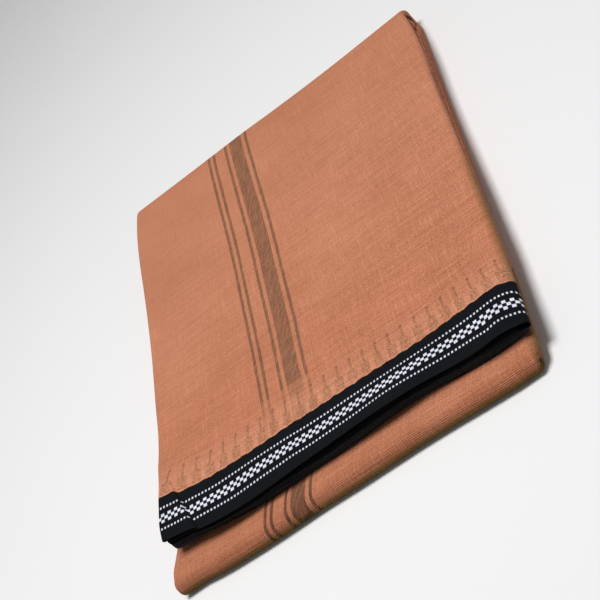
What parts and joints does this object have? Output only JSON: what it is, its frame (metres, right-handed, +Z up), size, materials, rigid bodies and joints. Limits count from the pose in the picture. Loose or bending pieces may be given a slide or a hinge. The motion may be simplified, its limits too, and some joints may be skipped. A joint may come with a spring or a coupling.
{
  "type": "folded dhoti cloth",
  "caption": "New cotton dhoti folded flat: peach cloth with brown stripes, and a black border with white checks along the front of its upper flap.",
  "frame": {"origin": "on the resting surface, under the middle of the parcel", "axes": "+X to the spine fold, +Y from the near fold to the far fold, +Z up out of the surface"},
  "size_m": [0.2442, 0.3379, 0.0282],
  "materials": {
    "peach_cloth": "plain woven cotton with a fine slub, matte",
    "black_border": "closely woven border with a faint sheen",
    "folded_edges": "folded edges of the same cotton, matte"
  },
  "bodies": {
    "root": {"outer_flap": "peach_cloth", "outer_border": "black_border", "border_inner_layers": "black_border", "second_border": "black_border", "lower_panel": "peach_cloth", "under_panel": "peach_cloth", "hidden_layers": "folded_edges"}
  },
  "joints": []
}
